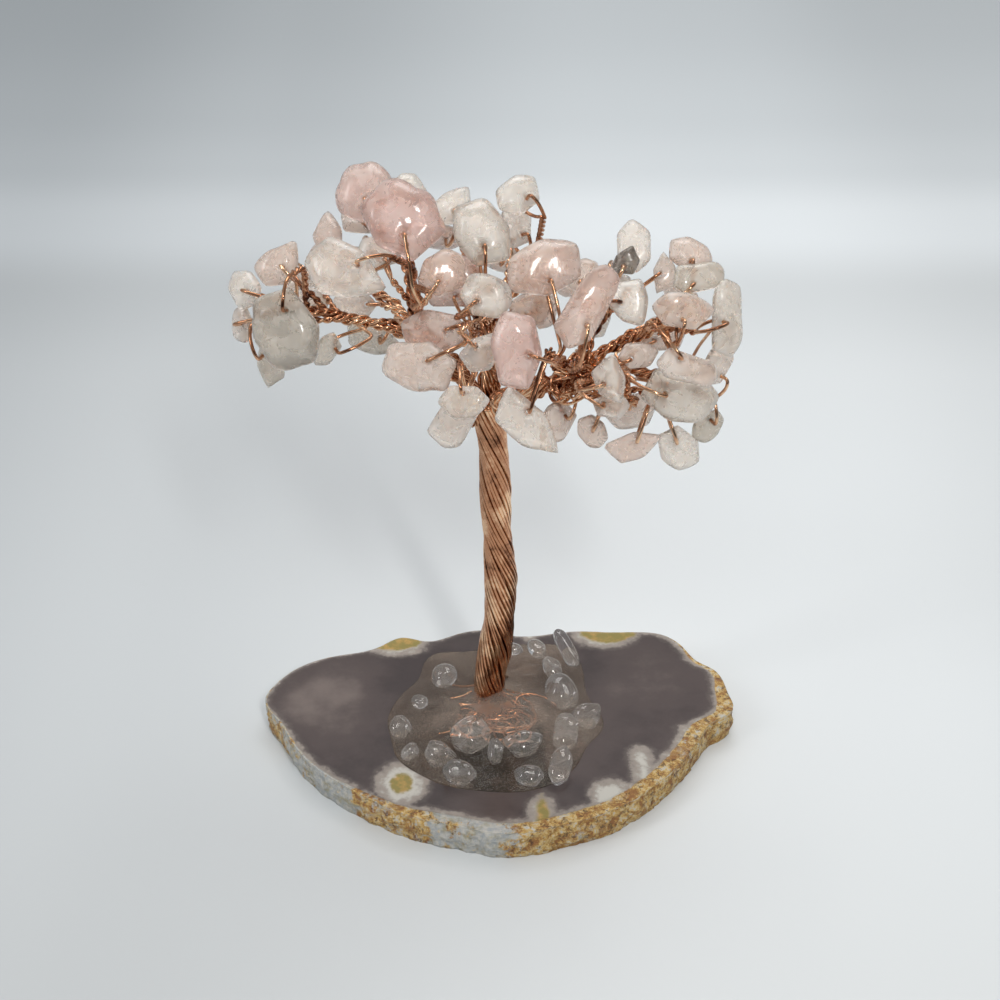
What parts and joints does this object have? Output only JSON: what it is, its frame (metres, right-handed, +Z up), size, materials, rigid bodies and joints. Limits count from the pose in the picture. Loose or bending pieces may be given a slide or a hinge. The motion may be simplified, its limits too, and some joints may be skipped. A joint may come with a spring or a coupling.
{
  "type": "gemstone tree ornament",
  "caption": "Ornamental wire tree with a twisted copper trunk on an agate slice, its twigs hooked through drilled tumbled stone chips, some of which swing.",
  "frame": {"origin": "on the slab's flat underside, below the trunk's foot", "axes": "+Z up along the trunk, -Y towards the viewer, +X to the viewer's right"},
  "size_m": [0.0733, 0.0515, 0.0901],
  "materials": {
    "agate": "polished",
    "resin": "gloss",
    "rock_crystal": "polished",
    "tumbled_quartz": "gloss",
    "copper_wire": "gloss"
  },
  "bodies": {
    "tree": {"agate_slab": "agate", "centre_back_bough": "copper_wire", "centre_back_stones": "tumbled_quartz", "centre_back_twigs": "copper_wire", "centre_front_bough": "copper_wire", "centre_front_stones": "tumbled_quartz", "centre_front_twigs": "copper_wire", "centre_limb": "copper_wire", "centre_top_bough": "copper_wire", "centre_top_stones": "tumbled_quartz", "centre_top_twigs": "copper_wire", "crystals_front": "rock_crystal", "crystals_left": "rock_crystal", "crystals_right": "rock_crystal", "left_back_bough": "copper_wire", "left_back_stones": "tumbled_quartz", "left_back_twigs": "copper_wire", "left_limb": "copper_wire", "left_outer_bough": "copper_wire", "left_outer_stones": "tumbled_quartz", "left_outer_twigs": "copper_wire", "left_top_bough": "copper_wire", "left_top_stones": "tumbled_quartz", "left_top_twigs": "copper_wire", "resin_pool": "resin", "right_back_bough": "copper_wire", "right_back_stones": "tumbled_quartz", "right_back_twigs": "copper_wire", "right_front_bough": "copper_wire", "right_front_stones": "tumbled_quartz", "right_front_twigs": "copper_wire", "right_inner_bough": "copper_wire", "right_inner_stones": "tumbled_quartz", "right_inner_twigs": "copper_wire", "right_limb": "copper_wire", "right_low_bough": "copper_wire", "right_low_stones": "tumbled_quartz", "right_low_twigs": "copper_wire", "right_outer_bough": "copper_wire", "right_outer_stones": "tumbled_quartz", "right_outer_twigs": "copper_wire", "root_wires": "copper_wire", "trunk_core": "copper_wire", "trunk_strands": "copper_wire"},
    "dangle_front_left": {"dangle_front_left_stone": "tumbled_quartz"},
    "dangle_front": {"dangle_front_stone": "tumbled_quartz"},
    "dangle_left": {"dangle_left_stone": "tumbled_quartz"},
    "dangle_right_end": {"dangle_right_end_stone": "tumbled_quartz"},
    "dangle_right_inner": {"dangle_right_inner_stone": "tumbled_quartz"},
    "dangle_right_middle": {"dangle_right_middle_stone": "tumbled_quartz"}
  },
  "joints": [
    {"name": "dangle_front_left_swing", "type": "hinge", "parent": "tree", "child": "dangle_front_left", "pos_m": [-0.00372, -0.01117, 0.06408], "axis": [-0.2396, -0.9608, 0.1392], "range_deg": [-15, 15]},
    {"name": "dangle_front_swing", "type": "hinge", "parent": "tree", "child": "dangle_front", "pos_m": [0.00517, -0.01161, 0.06348], "axis": [0.0632, -0.9041, 0.4226], "range_deg": [-15, 15]},
    {"name": "dangle_left_swing", "type": "hinge", "parent": "tree", "child": "dangle_left", "pos_m": [-0.03034, -0.00294, 0.06714], "axis": [-0.2578, -0.9623, 0.0872], "range_deg": [-15, 15]},
    {"name": "dangle_right_end_swing", "type": "hinge", "parent": "tree", "child": "dangle_right_end", "pos_m": [0.0303, -0.00112, 0.05616], "axis": [0.342, -0.9397, 0], "range_deg": [-15, 15]},
    {"name": "dangle_right_inner_swing", "type": "hinge", "parent": "tree", "child": "dangle_right_inner", "pos_m": [0.01996, -0.00759, 0.05685], "axis": [-0.1022, -0.9728, 0.2079], "range_deg": [-15, 15]},
    {"name": "dangle_right_middle_swing", "type": "hinge", "parent": "tree", "child": "dangle_right_middle", "pos_m": [0.02533, -0.005, 0.05538], "axis": [0.0691, -0.9879, 0.1392], "range_deg": [-15, 15]}
  ]
}
